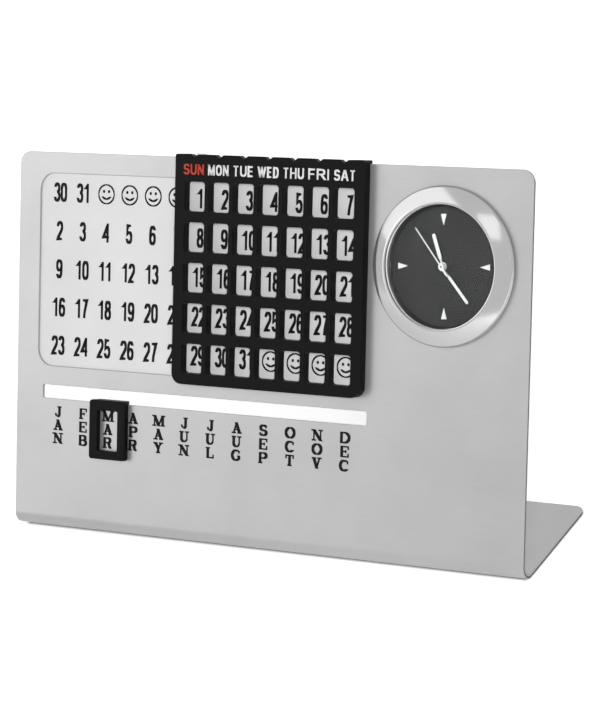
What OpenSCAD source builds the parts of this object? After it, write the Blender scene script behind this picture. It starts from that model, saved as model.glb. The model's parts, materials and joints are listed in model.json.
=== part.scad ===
// Perpetual desk calendar: one bent steel sheet with a pressed date field, a sliding weekday grid,
// a sliding month frame and a press-in quartz clock. Millimetres. The origin is on the desk, under
// the middle of the object; the reader looks along +Y, with +X to the right and +Z up.
// A place on the leaning panel is given by u (from its middle, to the right), v (up the slope from
// the sharp front corner) and w (out of the front face, towards the reader).

/* [Sheet] */
// Width of the sheet
sheet_w = 194; // [188:1:210]
// Height of the leaning panel, along its slope
panel_h = 127.4; // [126:0.2:140]
// Depth of the base, from the sharp front corner
base_d = 46.3; // [42:0.1:60]
// Thickness of the sheet
sheet_t = 1.0; // [0.8:0.1:1.4]
// Lean of the panel from the vertical, in degrees
lean = 25.7; // [20:0.1:30]
// Outside radius of the bend
bend_r = 4; // [2.5:0.1:6]
// Radius of the free corners
corner_r = 4; // [1:0.5:8]
// Thickness of the pads under the base
pad_t = 0.8; // [0.4:0.1:2]
// Diameter of the pads under the base
pad_d = 9; // [6:0.5:14]
// Distance of a pad's rim from the edges of the base
pad_inset = 5; // [3:0.5:10]

/* [Date field] */
// Width of the panel to the right of the pressed field, where the clock is
clock_side = 59; // [57:0.5:62]
// Height of the panel above the pressed field
field_top = 6.9; // [6:0.1:10]
// Distance of the field from the sheet's left edge
field_left = 8.5; // [6:0.5:10]
// Height of the field's lower edge up the slope
field_v = 56.2; // [54:0.1:58]
// Depth of the pressing
field_depth = 0.7; // [0.3:0.1:1]
// Corner radius of the field
field_r = 5.5; // [2:0.5:8]
// Margin between the field's side edges and its first and last date columns
field_margin = 2.41; // [2:0.01:4]

/* [Date slider] */
// Number of weekday columns
columns = 7; // [7:1:7]
// Number of date rows
rows = 5; // [5:1:5]
// Width of the slider's plate beside its outer windows
slider_side = 3.62; // [3:0.02:4.5]
// Gap between the slider in its right-hand place and the clock's bezel
slider_clear = 2.25; // [1:0.05:4]
// Height of the slider's lower edge up the slope
slider_v = 54.1; // [52:0.1:55]
// Thickness of the slider's front plate
slider_t = 3.2; // [2.4:0.1:4]
// Width of the ribs between the window columns
rib_w = 1.46; // [1.2:0.02:3]
// Height of the ribs between the window rows
rib_h = 3.41; // [2:0.01:5]
// Corner radius of a window
window_r = 1; // [0.4:0.1:2]
// Plate below the bottom row of windows
window_sill = 3.65; // [2:0.05:5]
// Plate above the top row of windows, where the weekdays are
header_h = 8.81; // [7:0.01:11]
// Radius of the slider's lower corners
slider_r = 3.5; // [1:0.5:6]
// Radius of the slider's upper corners
slider_top_r = 0.8; // [0.4:0.1:1.5]
// Thickness of the lip over the panel's top edge
lip_t = 0.85; // [0.6:0.05:1.2]
// Thickness of the flange behind the panel
flange_t = 1.2; // [0.8:0.1:1.4]
// Length of the flange behind the panel
flange_h = 6; // [3:0.5:6]
// Width of an index notch at the top of the lip
notch_w = 3; // [2:0.1:4]
// Depth of an index notch
notch_d = 1.1; // [0.8:0.05:1.3]
// Thickness of the wall that the index notches are cut in
notch_wall = 2; // [1.6:0.1:2.4]
// Width of the left hook over the panel's top edge
left_hook_w = 2.6; // [1.5:0.1:4]
// Gap between the slider and the sheet's faces
slide_gap = 0.2; // [0.1:0.05:0.4]

/* [Index wire] */
// Diameter of the index wire
wire_d = 0.8; // [0.6:0.1:1.2]
// Diameter of the bead at the wire's tip
bead_d = 1.5; // [1.3:0.1:2]
// Clearance between the bead and the notch it rests in
wire_gap = 0.04; // [0.02:0.01:0.1]
// Distance of the bead behind the slider's front face
tip_setback = 0.6; // [0.2:0.1:1.5]
// Clearance between the slider's flange and the wire's leg
leg_gap = 0.35; // [0.2:0.05:0.8]
// Length of the wire's leg, down the back of the panel
leg_h = 30; // [25:1:40]
// Width of the saddle that holds the wire's foot
saddle_w = 12; // [8:1:16]
// Height of the saddle
saddle_h = 9; // [6:1:12]
// Thickness of the saddle's metal
saddle_t = 0.6; // [0.4:0.1:1]

/* [Month slider] */
// Distance of the slot from the sheet's left edge
slot_left = 10.8; // [8:0.1:12]
// Distance of the slot from the sheet's right edge
slot_right = 57.1; // [55:0.1:62]
// Height of the slot's lower edge up the slope
slot_v = 45.4; // [43:0.1:46]
// Height of the slot
slot_h = 4.5; // [4:0.1:6]
// Distance of the month frame's middle from the sheet's left edge, in the stored position
month_left = 38.75; // [27:0.05:57]
// Width of the month frame
month_w = 14.5; // [13:0.1:16]
// Height of the month frame
month_h = 19.6; // [17:0.1:22]
// Thickness of the month frame
month_t = 1.95; // [1.4:0.05:3]
// Width of the month window
month_window_w = 8; // [6:0.1:9]
// Height of the month window
month_window_h = 13.35; // [11:0.05:14]
// Plate below the month window
month_sill = 2.85; // [2:0.05:3]
// Corner radius of the month frame
month_r = 1; // [0.4:0.1:2]
// Thickness of the hook's roof, which passes through the slot
month_roof_t = 0.85; // [0.6:0.05:1.4]
// Width of the hook behind the frame
month_hook_w = 12; // [8:0.5:13]
// Length of the hook behind the panel
month_hook_h = 8; // [5:0.5:12]

/* [Clock case] */
// Distance of the bezel from the sheet's right edge
clock_inset = 5.5; // [4:0.1:7]
// Distance of the bezel from the sheet's top edge
clock_top = 5.7; // [4:0.1:10]
// Outer radius of the bezel
bezel_r = 25; // [24:0.1:25.2]
// Thickness of the bezel's outer rim
rim_t = 1; // [0.8:0.05:1.4]
// Height of the bezel over the panel
bezel_h = 3.5; // [3:0.1:4.5]
// Width of the bezel's sloping face, with its inner rim
face_w = 5.65; // [5:0.05:7]
// Width of the ring between lens and dial
spacer_w = 1.1; // [0.8:0.05:1.3]
// Thickness of the case wall
wall_t = 0.8; // [0.6:0.1:1]
// Depth of the case behind the dial's face
case_d = 11; // [11:0.1:14]
// Clearance of the parts that drop into the case
case_gap = 0.1; // [0.05:0.01:0.2]
// Thickness of the lens
lens_t = 0.85; // [0.6:0.05:1]
// Thickness of the bezel's lip over the lens
bezel_lip_t = 0.35; // [0.25:0.05:0.6]
// Thickness of the dial
dial_t = 0.4; // [0.3:0.05:0.5]
// Thickness of the applied hour marks
mark_t = 0.25; // [0.1:0.05:0.35]
// Length of an hour mark
mark_l = 3.45; // [2:0.05:4.5]
// Width of an hour mark at its base
mark_w = 1.9; // [1:0.05:3]
// Radius from the dial's centre to the base of a mark
mark_r = 16.2; // [14:0.1:17.5]
// Turn of the marks to the left, as the clock sits in the panel
mark_turn = 1.8; // [-5:0.1:5]
// Width of the rubber ring that grips the panel
grip_w = 1.7; // [1:0.1:2.2]
// Height of the rubber ring
grip_h = 2.2; // [1.5:0.1:3]

/* [Clock hands] */
// Length of the hour hand
hour_l = 10.6; // [8:0.1:12]
// Length of the minute hand
minute_l = 14.4; // [12:0.1:17]
// Length of the second hand
second_l = 14.9; // [12:0.1:17]
// Length of the second hand's tail
tail_l = 3.5; // [2:0.1:5]
// Width of the hour hand
hour_w = 1.15; // [0.8:0.05:1.6]
// Width of the minute hand
minute_w = 0.9; // [0.6:0.05:1.4]
// Width of the second hand
second_w = 0.35; // [0.25:0.05:0.6]
// Width of the second hand's tail
tail_w = 0.6; // [0.3:0.05:1]
// Radius of the second hand's eye
eye_r = 0.95; // [0.7:0.05:1.2]
// Thickness of a hand
hand_t = 0.2; // [0.15:0.01:0.25]
// Angle of the hour hand, clockwise from 12
hour_a = 340.5; // [0:0.5:359]
// Angle of the minute hand, clockwise from 12
minute_a = 139; // [0:1:359]
// Angle of the second hand, clockwise from 12
second_a = 321; // [0:1:359]

/* [Movement] */
// Depth of the room for the motion work, between the dial and the front plate
motion_room = 2; // [2:0.1:2.5]
// Thickness of the movement's two plates
plate_t = 0.8; // [0.6:0.1:1]
// Room between the movement's two plates
train_room = 3.2; // [3.2:0.1:4]
// Module of the motion work
motion_m = 0.2; // [0.19:0.01:0.2]
// Module of the third wheel and the centre wheel
third_m = 0.12; // [0.118:0.001:0.122]
// Module of the second wheel and its pinion
second_m = 0.135; // [0.134:0.001:0.137]
// Module of the rotor's pinion and the intermediate wheel
rotor_m = 0.12; // [0.1:0.01:0.13]
// Thickness of a wheel of the running train
wheel_t = 0.4; // [0.3:0.05:0.45]
// Thickness of a wheel of the motion work
motion_t = 0.5; // [0.4:0.05:0.5]
// Radius of the train's arbors
arbor_r = 0.2; // [0.15:0.01:0.22]
// Running clearance round an arbor, a tube or a post
run_gap = 0.06; // [0.04:0.01:0.08]
// Radius of the second hand's arbor
second_r = 0.3; // [0.25:0.01:0.32]
// Wall of the hands' tubes
tube_t = 0.32; // [0.25:0.01:0.35]
// Diameter of the button cell
cell_d = 6.8; // [5.8:0.1:7.9]
// Height of the button cell
cell_h = 2.6; // [1.6:0.1:2.6]
// Place of the button cell to the right of the clock's centre
cell_u = 8.5; // [7:0.1:10]
// Place of the button cell above the clock's centre
cell_v = 6; // [5:0.1:8]
// Radius of the setting knob
knob_r = 3; // [2:0.1:4]
// Height of the setting knob
knob_h = 1.5; // [1:0.1:3]
// Radius of the coil's winding
coil_r = 1.4; // [1:0.05:1.5]
// Length of the coil's winding
coil_l = 9; // [6:0.5:11]
// Side of the coil's square core
core_w = 1; // [0.6:0.1:1]
// Radius of the rotor's magnet
magnet_r = 1.3; // [1:0.05:1.4]

/* [Hidden] */
$fn = 48;

eps = 0.01;
steel = [0.78, 0.78, 0.79];
black = [0.13, 0.13, 0.14];
brass = [0.83, 0.69, 0.35];
silver = [0.85, 0.85, 0.86];
grey = [0.35, 0.35, 0.37];

// Sheet
bend_half = (90 - lean) / 2;
tangent = bend_r / tan(bend_half);
nose_y = tangent - bend_r;
bend_n = 20;
leg_w = -(sheet_t + slide_gap + flange_t + leg_gap + wire_d / 2);
notch_half = atan(notch_w / 2 / notch_d);
lip_v = panel_h + slide_gap + lip_t;
wire_v = lip_v - notch_d + (bead_d / 2 + wire_gap) / sin(notch_half);
wire_turn = wire_d;

// Date field
field_w = sheet_w - field_left - clock_side;
field_h = panel_h - field_v - field_top;
date_columns = columns + 6;
column_pitch = (field_w - 2 * field_margin) / date_columns;

// Clock's place
clock_u = sheet_w / 2 - clock_inset - bezel_r;
clock_v = panel_h - clock_top - bezel_r;

// Date slider and index wire
window_w = column_pitch - rib_w;
slider_w = columns * column_pitch - rib_w + 2 * slider_side;
slider_u = clock_u - bezel_r - slider_clear - slider_w / 2;
row_pitch = (lip_v - header_h - window_sill - slider_v + rib_h) / rows;
window_h = row_pitch - rib_h;
front_face = slide_gap + slider_t;
flange_w = -(sheet_t + slide_gap + flange_t);
first_row_v = slider_v + window_sill + window_h / 2;
notch_run = (columns - 1) * column_pitch;
wire_u = slider_u - notch_run / 2;
rebate_v = lip_v - notch_d - 0.3;
saddle_v = wire_v - leg_h;
saddle_seat = -(sheet_t + field_depth);

// Month slider
slot_w = sheet_w - slot_left - slot_right;
slot_u = (slot_left - slot_right) / 2;
month_u = month_left - sheet_w / 2;
month_top_v = slot_v + slide_gap + month_roof_t;
month_v = month_top_v - month_h;

// Clock, along w from the panel's face
dial_w = 0;
sight_r = bezel_r - face_w;
case_r = sight_r + spacer_w;
lens_top = bezel_h - bezel_lip_t;
lens_w = lens_top - lens_t;
case_out_r = case_r + wall_t;
rear_y = (clock_v + case_out_r) * sin(lean) + case_d * cos(lean);
origin_y = (nose_y + rear_y) / 2;
fit_r = case_r - case_gap;
grip_gap = 0.05;
hole_gap = 0.4;
skirt_w = -2.2;
front_top = -(dial_t + motion_room);
front_w = front_top - plate_t;
rear_top = front_w - train_room;
rear_w = rear_top - plate_t;
back_w = -case_d;
back_in_w = back_w + wall_t;

// Clock trains
tip_share = 0.8;
root_share = 1.05;
cannon_in = second_r + run_gap;
cannon_out = cannon_in + tube_t;
hour_in = cannon_out + run_gap;
hour_out = hour_in + tube_t;
cannon_n = 10;
motion_n = 30;
motion_pinion_n = 8;
hour_n = 32;
setting_n = 12;
second_pinion_n = 11;
third_n = 66;
third_pinion_n = 7;
centre_n = 70;
second_n = 60;
intermediate_pinion_n = 10;
intermediate_n = 40;
rotor_n = 8;
motion_dist = motion_m * (cannon_n + motion_n) / 2;
setting_dist = motion_m * (motion_n + setting_n) / 2;
third_dist = third_m * (second_pinion_n + third_n) / 2;
intermediate_dist = second_m * (second_n + intermediate_pinion_n) / 2;
rotor_dist = rotor_m * (intermediate_n + rotor_n) / 2;
motion_dir = -90;
third_dir = 35;
intermediate_dir = 150;
rotor_dir = 190;
motion_at = polar(motion_dist, motion_dir);
setting_at = motion_at + polar(setting_dist, motion_dir);
third_at = polar(third_dist, third_dir);
intermediate_at = polar(intermediate_dist, intermediate_dir);
rotor_at = intermediate_at + polar(rotor_dist, rotor_dir);
post_r = 0.35;
setting_r = 0.5;
low_motion = front_top + 0.15;
high_motion = low_motion + motion_t + 0.2;
deep_level = rear_top + 0.2;
mid_level = deep_level + wheel_t + 0.45;
top_level = mid_level + wheel_t + 0.7;
pinion_extra = 0.15;
pivot_in = 0.5;
hand_w = 0.8;
hand_step = 0.5;
neck_end = 0.2;
bar_start = 0.3;

// Movement's fixed parts
screw_r = 0.45;
head_r = 2 * screw_r;
head_t = 0.5;
drive_w = 0.24;
screw_gap = 0.02;
pillar_a = [0, 100, 210];
pillar_r = 1.1;
pillar_ring = 16;
coil_u = -12;
core_l = coil_l + 5;
core_top = rear_top + (train_room + core_w) / 2;
stator_t = 0.5;
stator_w = 2.2;
magnet_gap = 0.3;
board_size = [10, 11];
board_at = [10, -7.5];
board_t = 0.6;
can_side = 2.5;
can_r = 0.95;
can_l = 6;
contact_t = 0.15;
cell_top = rear_w - contact_t;
cell_at = [cell_u, cell_v];
collar_gap = 0.15;
collar_t = 0.6;
slit_w = 2.4;
cover_r = cell_d / 2 + 1.2;
cover_gap = 0.1;
tab_l = 0.9;
tab_t = 0.4;
tab_a = 40;
cover_turn = 60;

function polar(r, a) = [r * cos(a), r * sin(a)];
function arc(c, r, a0, a1, n) = [for (i = [0:n]) c + polar(r, a0 + (a1 - a0) * i / n)];
// Outline of a box about its middle, with one radius for the lower and one for the upper corners
function round_box(w, h, low_r, top_r, n = 6) = concat(
    arc([w / 2 - low_r, low_r - h / 2], low_r, -90, 0, n),
    arc([w / 2 - top_r, h / 2 - top_r], top_r, 0, 90, n),
    arc([top_r - w / 2, h / 2 - top_r], top_r, 90, 180, n),
    arc([low_r - w / 2, low_r - h / 2], low_r, 180, 270, n));
// Side view of the sheet in v and w: panel, bend and base in one run
function sheet_side() = let (end = base_d * [sin(lean), -cos(lean)]) concat([[panel_h, 0]],
    arc([tangent, -bend_r], bend_r, 90, 180 + lean, bend_n),
    [end, end + sheet_t * [cos(lean), sin(lean)]],
    arc([tangent, -bend_r], bend_r - sheet_t, 180 + lean, 90, bend_n), [[panel_h, -sheet_t]]);
function tooth(r_root, r_tip, a, pitch) = [polar(r_root, a - 0.29 * pitch),
    polar(r_tip, a - 0.11 * pitch), polar(r_tip, a + 0.11 * pitch), polar(r_root, a + 0.29 * pitch)];
function gear_outline(n, m, phase) = [for (i = [0:n - 1])
    each tooth(m * (n / 2 - root_share), m * (n / 2 + tip_share), phase + i * 360 / n, 360 / n)];
// Outline of a hand that points up: a thin neck that widens to a bar with a round tip
function hand_outline(l, w, neck) = concat(
    [[neck / 2, 0], [neck / 2, l * neck_end], [w / 2, l * bar_start]],
    arc([0, l - w / 2], w / 2, 0, 180, 8),
    [[-w / 2, l * bar_start], [-neck / 2, l * neck_end], [-neck / 2, 0]]);

module at_desk() {
    translate([0, -origin_y, pad_t]) children();
}

module on_panel(u = 0, v = 0) {
    at_desk() rotate([90 - lean, 0, 0]) translate([u, v, 0]) children();
}

module on_clock(at = [0, 0], w = 0) {
    on_panel(clock_u, clock_v) translate([at.x, at.y, w]) children();
}

// A disc or rod along w, between two depths
module rod(r, w0, w1) {
    translate([0, 0, w0]) cylinder(r = r, h = w1 - w0);
}

module tube(r_out, r_in, w0, w1) {
    difference() {
        rod(r_out, w0, w1);
        rod(r_in, w0 - eps, w1 + eps);
    }
}

module gear(n, m, w0, t, phase) {
    translate([0, 0, w0]) linear_extrude(t) polygon(gear_outline(n, m, phase));
}

module hole_gear(n, m, w0, t, phase, r) {
    difference() {
        gear(n, m, w0, t, phase);
        rod(r, w0 - eps, w0 + t + eps);
    }
}

// Sheet

module blank() {
    rotate([90, 0, 90]) linear_extrude(sheet_w, center = true) polygon(sheet_side());
}

// What a round corner takes off a square one whose tip is at the middle
module corner_off(r) {
    n = 6;
    run = arc([-r, -r], r, 0, 90, n);
    first = run[0] + 4 * (run[0] - run[1]);
    last = run[n] + 4 * (run[n] - run[n - 1]);
    translate([0, 0, -sheet_t - 1]) linear_extrude(2 * sheet_t + 2)
        polygon(concat([first], [for (i = [1:n - 1]) run[i]], [last, [r, r]]));
}

module both_corners(run) {
    for (side = [0, 1]) mirror([side, 0, 0]) translate([sheet_w / 2, run, 0]) corner_off(corner_r);
}

module field_block(grow, w0, t) {
    translate([field_left - sheet_w / 2 + field_w / 2, field_v + field_h / 2, w0])
        linear_extrude(t) polygon(round_box(field_w + 2 * grow, field_h + 2 * grow,
            field_r + grow, field_r + grow));
}

module slot_cut() {
    translate([slot_u, slot_v + slot_h / 2, -sheet_t - 1]) linear_extrude(sheet_t + 2)
        polygon(round_box(slot_w, slot_h, 0.6, 0.6, 3));
}

module bent_sheet() {
    color(steel) difference() {
        on_panel() difference() {
            union() {
                blank();
                field_block(sheet_t, -sheet_t - field_depth, 2 * field_depth);
            }
            field_block(0, -field_depth, field_depth + 1);
            slot_cut();
            translate([clock_u, clock_v, 0]) rod(case_out_r + hole_gap, -sheet_t - 1, 1);
            both_corners(panel_h);
        }
        at_desk() both_corners(base_d);
    }
}

module foot_pads() {
    color(grey) at_desk() for (x = [-1, 1], y = [tangent + pad_d / 2, base_d - pad_inset - pad_d / 2])
        translate([x * (sheet_w / 2 - pad_inset - pad_d / 2), y, -pad_t])
            cylinder(d = pad_d, h = pad_t);
}

// Date slider

module slider_outline() {
    translate([0, (lip_v + slider_v) / 2])
        polygon(round_box(slider_w, lip_v - slider_v, slider_r, slider_top_r));
}

module date_windows() {
    for (c = [0:columns - 1], r = [0:rows - 1])
        translate([(c - (columns - 1) / 2) * column_pitch, first_row_v + r * row_pitch])
            polygon(round_box(window_w, window_h, window_r, window_r, 4));
}

module notch_cut() {
    translate([0, 0, flange_w - 1]) linear_extrude(front_face - flange_w + 2)
        polygon([[0, lip_v - notch_d], [notch_w, lip_v + notch_d], [-notch_w, lip_v + notch_d]]);
}

// Room behind the notched wall, from the left hook to the last notch
module rebate() {
    left = left_hook_w - slider_w / 2;
    translate([left, rebate_v, flange_w - 1])
        cube([(notch_run + notch_w) / 2 - left, lip_v, front_face - notch_wall - flange_w + 1]);
}

module date_slider() {
    color(black) on_panel(slider_u) difference() {
        union() {
            translate([0, 0, slide_gap]) linear_extrude(slider_t) difference() {
                slider_outline();
                date_windows();
            }
            translate([-slider_w / 2 + slider_top_r, lip_v - lip_t, flange_w])
                cube([slider_w - 2 * slider_top_r, lip_t, front_face - flange_w]);
            translate([-slider_w / 2 + slider_top_r, lip_v - flange_h, flange_w])
                cube([slider_w - 2 * slider_top_r, flange_h, flange_t]);
        }
        for (c = [0:columns - 1]) translate([(c - (columns - 1) / 2) * column_pitch, 0, 0])
            notch_cut();
        rebate();
    }
}

// Index wire: a finger over the lip, a quarter turn and a leg down the back

module index_wire() {
    color(silver) on_panel(wire_u, wire_v) {
        rod(wire_d / 2, leg_w + wire_turn, front_face - tip_setback - bead_d / 2);
        translate([0, 0, front_face - tip_setback - bead_d / 2]) sphere(d = bead_d, $fn = 24);
        translate([0, -wire_turn, leg_w + wire_turn]) rotate([-90, 0, 0]) rotate([0, -90, 0])
            rotate_extrude(angle = 90) translate([wire_turn, 0]) circle(d = wire_d);
        translate([0, -wire_turn, leg_w]) rotate([90, 0, 0])
            cylinder(d = wire_d, h = leg_h - wire_turn + saddle_h / 2);
    }
}

module wire_saddle() {
    arch = saddle_seat - leg_w + wire_d / 2 + saddle_t;
    color(steel) on_panel(wire_u, saddle_v) difference() {
        union() {
            translate([-saddle_w / 2, -saddle_h / 2, saddle_seat - saddle_t])
                cube([saddle_w, saddle_h, saddle_t]);
            translate([-wire_d / 2 - saddle_t, -saddle_h / 2, saddle_seat - arch])
                cube([wire_d + 2 * saddle_t, saddle_h, arch]);
        }
        translate([0, saddle_h, leg_w]) rotate([90, 0, 0])
            cylinder(r = wire_d / 2 + wire_gap, h = 2 * saddle_h);
    }
}

// Month slider

module month_slider() {
    hook_w = -(sheet_t + slide_gap + month_roof_t);
    color(black) on_panel(month_u) {
        translate([0, 0, slide_gap]) linear_extrude(month_t) difference() {
            translate([0, month_v + month_h / 2])
                polygon(round_box(month_w, month_h, month_r, month_r, 4));
            translate([0, month_v + month_sill + month_window_h / 2])
                polygon(round_box(month_window_w, month_window_h, month_r / 2, month_r / 2, 3));
        }
        translate([-month_hook_w / 2, month_top_v - month_roof_t, hook_w])
            cube([month_hook_w, month_roof_t, slide_gap - hook_w]);
        translate([-month_hook_w / 2, month_top_v - month_hook_h, hook_w])
            cube([month_hook_w, month_hook_h, month_roof_t]);
    }
}

// Clock case and face

module clock_bezel() {
    skin = rim_t + 0.3;
    color(silver) on_clock() rotate_extrude() polygon([[bezel_r, 0], [bezel_r, rim_t],
        [sight_r + 0.65, bezel_h], [sight_r, bezel_h], [sight_r, lens_top], [case_r, lens_top],
        [case_r, skirt_w], [case_out_r, skirt_w], [case_out_r, bezel_h - 2 * skin],
        [bezel_r - skin, 0]]);
}

module clock_lens() {
    color([0.85, 0.92, 0.95, 0.3]) on_clock() rod(fit_r, lens_w, lens_top);
}

module spacer_ring() {
    color(grey) on_clock() tube(fit_r, sight_r, dial_w, lens_w);
}

module dial() {
    color(grey) on_clock() tube(fit_r, hour_out + 0.25, dial_w - dial_t, dial_w);
}

module hour_marks() {
    color(silver) on_clock([0, 0], dial_w) for (a = [0:90:270])
        rotate(a + mark_turn) linear_extrude(mark_t)
        polygon([[mark_r, -mark_w / 2], [mark_r, mark_w / 2], [mark_r - mark_l, 0]]);
}

module hand(l, w, bore_r, level, angle) {
    color(silver) on_clock() rotate(-angle) difference() {
        union() {
            rod(bore_r + 0.35, level, level + hand_t);
            translate([0, 0, level]) linear_extrude(hand_t) polygon(hand_outline(l, w, w / 2));
        }
        rod(bore_r, level - eps, level + hand_t + eps);
    }
}

module hour_hand() {
    hand(hour_l, hour_w, hour_out + eps, hand_w, hour_a);
}

module minute_hand() {
    hand(minute_l, minute_w, cannon_out + eps, hand_w + hand_step, minute_a);
}

module second_hand() {
    level = hand_w + 2 * hand_step;
    color(silver) on_clock() rotate(-second_a) difference() {
        union() {
            rod(eye_r, level, level + hand_t);
            translate([-second_w / 2, 0, level]) cube([second_w, second_l, hand_t]);
            translate([-tail_w / 2, -tail_l, level]) cube([tail_w, tail_l, hand_t]);
        }
        rod(second_r + eps, level - eps, level + hand_t + eps);
    }
}

// Clock movement: motion work under the dial, running train between the plates

module hour_wheel() {
    color(brass) on_clock() difference() {
        union() {
            gear(hour_n, motion_m, high_motion, motion_t, motion_dir + 180 / hour_n);
            rod(hour_out, high_motion, hand_w + hand_t);
        }
        rod(hour_in, high_motion - eps, hand_w + hand_t + eps);
    }
}

module minute_pinion() {
    color(brass) on_clock() difference() {
        union() {
            gear(cannon_n, motion_m, low_motion - eps, motion_t + 0.1, motion_dir);
            rod(cannon_out, top_level - pinion_extra, hand_w + hand_step + hand_t);
        }
        rod(cannon_in, top_level - 1, hand_w + hand_step + hand_t + eps);
    }
}

module motion_wheel() {
    color(silver) on_clock(motion_at) difference() {
        union() {
            gear(motion_n, motion_m, low_motion, motion_t, motion_dir + 180 + 180 / motion_n);
            gear(motion_pinion_n, motion_m, low_motion + motion_t - eps, motion_t + 0.3,
                motion_dir + 180);
        }
        rod(post_r + run_gap, low_motion - 1, 0);
    }
}

module setting_knob() {
    color(black) on_clock(setting_at) {
        gear(setting_n, motion_m, low_motion, motion_t, motion_dir + 180);
        rod(setting_r, back_w - 0.3, low_motion + eps);
        translate([0, 0, back_w - 0.3 - knob_h]) linear_extrude(knob_h)
            polygon([for (a = [0:10:359]) polar(knob_r - (a % 20 == 0 ? 0 : 0.2), a)]);
    }
}

module arbor(w0, w1) {
    rod(arbor_r, w0, w1);
}

module second_wheel() {
    color(silver) on_clock() {
        gear(second_n, second_m, deep_level, wheel_t, intermediate_dir + 180 / second_n);
        gear(second_pinion_n, third_m, mid_level - pinion_extra / 2, wheel_t + pinion_extra,
            third_dir);
        rod(second_r, rear_top - pivot_in, hand_w + 2 * hand_step + hand_t);
    }
}

module third_wheel() {
    color(silver) on_clock(third_at) {
        gear(third_n, third_m, mid_level, wheel_t, third_dir + 180 + 180 / third_n);
        gear(third_pinion_n, third_m, top_level - pinion_extra / 2, wheel_t + pinion_extra,
            third_dir + 180);
        arbor(rear_top - pivot_in, front_w + pivot_in);
    }
}

module centre_wheel() {
    color(brass) on_clock() hole_gear(centre_n, third_m, top_level, wheel_t,
        third_dir + 180 / centre_n, cannon_out + run_gap);
}

module intermediate_wheel() {
    color(silver) on_clock(intermediate_at) {
        gear(intermediate_n, rotor_m, mid_level, wheel_t, rotor_dir + 180 / intermediate_n);
        gear(intermediate_pinion_n, second_m, deep_level - pinion_extra / 2,
            wheel_t + pinion_extra, intermediate_dir + 180);
        arbor(rear_top - pivot_in, front_w + pivot_in);
    }
}

module rotor() {
    color(grey) on_clock(rotor_at) {
        gear(rotor_n, rotor_m, mid_level - pinion_extra / 2, wheel_t + pinion_extra,
            rotor_dir + 180);
        rod(magnet_r, core_top - 0.2, core_top + stator_t + 0.2);
        arbor(rear_top - pivot_in, front_w + pivot_in);
    }
}

// A flat bar between two places, with round ends
module bar(from, to, w, t) {
    run = to - from;
    translate([from.x, from.y, 0]) {
        rotate(atan2(run.y, run.x)) translate([0, -w / 2, 0]) cube([norm(run), w, t]);
        cylinder(d = w, h = t);
    }
    translate([to.x, to.y, 0]) cylinder(d = w, h = t);
}

module stator() {
    end_v = core_l / 2 - stator_w / 2;
    elbow_u = coil_u + coil_r + stator_w / 2 + magnet_gap;
    color(steel) on_clock([0, 0], core_top) difference() {
        union() {
            for (v = [-end_v, end_v]) {
                bar([coil_u, v], [elbow_u, v], stator_w, stator_t);
                bar([elbow_u, v], rotor_at, stator_w, stator_t);
            }
            translate([rotor_at.x, rotor_at.y, 0])
                cylinder(r = magnet_r + magnet_gap + 0.8, h = stator_t);
        }
        translate([rotor_at.x, rotor_at.y, -1]) cylinder(r = magnet_r + magnet_gap, h = 3);
    }
}

module coil_core() {
    color(steel) on_clock([coil_u, 0], core_top - core_w)
        translate([-core_w / 2, -core_l / 2, 0]) cube([core_w, core_l, core_w]);
}

module coil() {
    color([0.72, 0.42, 0.2]) on_clock([coil_u, coil_l / 2], core_top - core_w / 2)
        rotate([90, 0, 0]) difference() {
            cylinder(r = coil_r, h = coil_l);
            translate([0, 0, -1]) cylinder(r = core_w * 0.72, h = coil_l + 2);
        }
}

module circuit_board() {
    color([0.1, 0.35, 0.2]) on_clock(board_at, rear_top) {
        translate([-board_size.x / 2, -board_size.y / 2, 0])
            cube([board_size.x, board_size.y, board_t]);
        translate([-2, 2.5, board_t - eps]) cylinder(r = 1.6, h = 0.5);
    }
}

module quartz_can() {
    color(silver) on_clock(board_at + [can_side, can_l / 4], rear_top + board_t + can_r)
        rotate([90, 0, 0]) cylinder(r = can_r, h = can_l);
}

module pillar_places() {
    for (a = pillar_a) translate(polar(pillar_ring, a)) children();
}

module front_plate() {
    color(grey) on_clock() difference() {
        union() {
            rod(fit_r, front_w, front_top);
            tube(fit_r, fit_r - 1, front_top - eps, -dial_t);
            translate(motion_at) rod(post_r, front_top - eps, -dial_t - 0.15);
            pillar_places() rod(pillar_r, rear_top, front_w + eps);
        }
        rod(cannon_out + run_gap, front_w - eps, front_top + eps);
        translate(setting_at) rod(setting_r + run_gap, front_w - eps, front_top + eps);
        for (at = [third_at, intermediate_at, rotor_at]) translate(at)
            rod(arbor_r + run_gap, front_w - eps, front_w + pivot_in + 0.1);
        pillar_places() rod(screw_r, rear_top - eps, front_w);
    }
}

module rear_plate() {
    collar_r = cell_d / 2 + collar_gap;
    color(grey) on_clock() difference() {
        union() {
            rod(fit_r - 0.6, rear_w, rear_top);
            translate(cell_at) tube(collar_r + collar_t, collar_r, cell_top - cell_h + 0.5,
                rear_w + eps);
        }
        rod(second_r + run_gap, rear_w - 1, rear_top + eps);
        translate(setting_at) rod(setting_r + run_gap, rear_w - eps, rear_top + eps);
        for (at = [third_at, intermediate_at, rotor_at]) translate(at)
            rod(arbor_r + run_gap, rear_top - pivot_in - 0.1, rear_top + eps);
        pillar_places() rod(screw_r + 0.1, rear_w - eps, rear_top + eps);
        translate([cell_u + collar_r - 0.3, cell_v - slit_w / 2, rear_w - cell_h - 1])
            cube([collar_t + 0.8, slit_w, cell_h + 1]);
    }
}

module plate_screws() {
    color(silver) on_clock() pillar_places() difference() {
        union() {
            rod(screw_r - screw_gap, rear_w, rear_top + train_room / 2);
            rod(head_r, rear_w - head_t, rear_w);
        }
        translate([-2 * head_r, -drive_w / 2, rear_w - 1.5 * head_t])
            cube([4 * head_r, drive_w, head_t]);
    }
}

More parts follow.
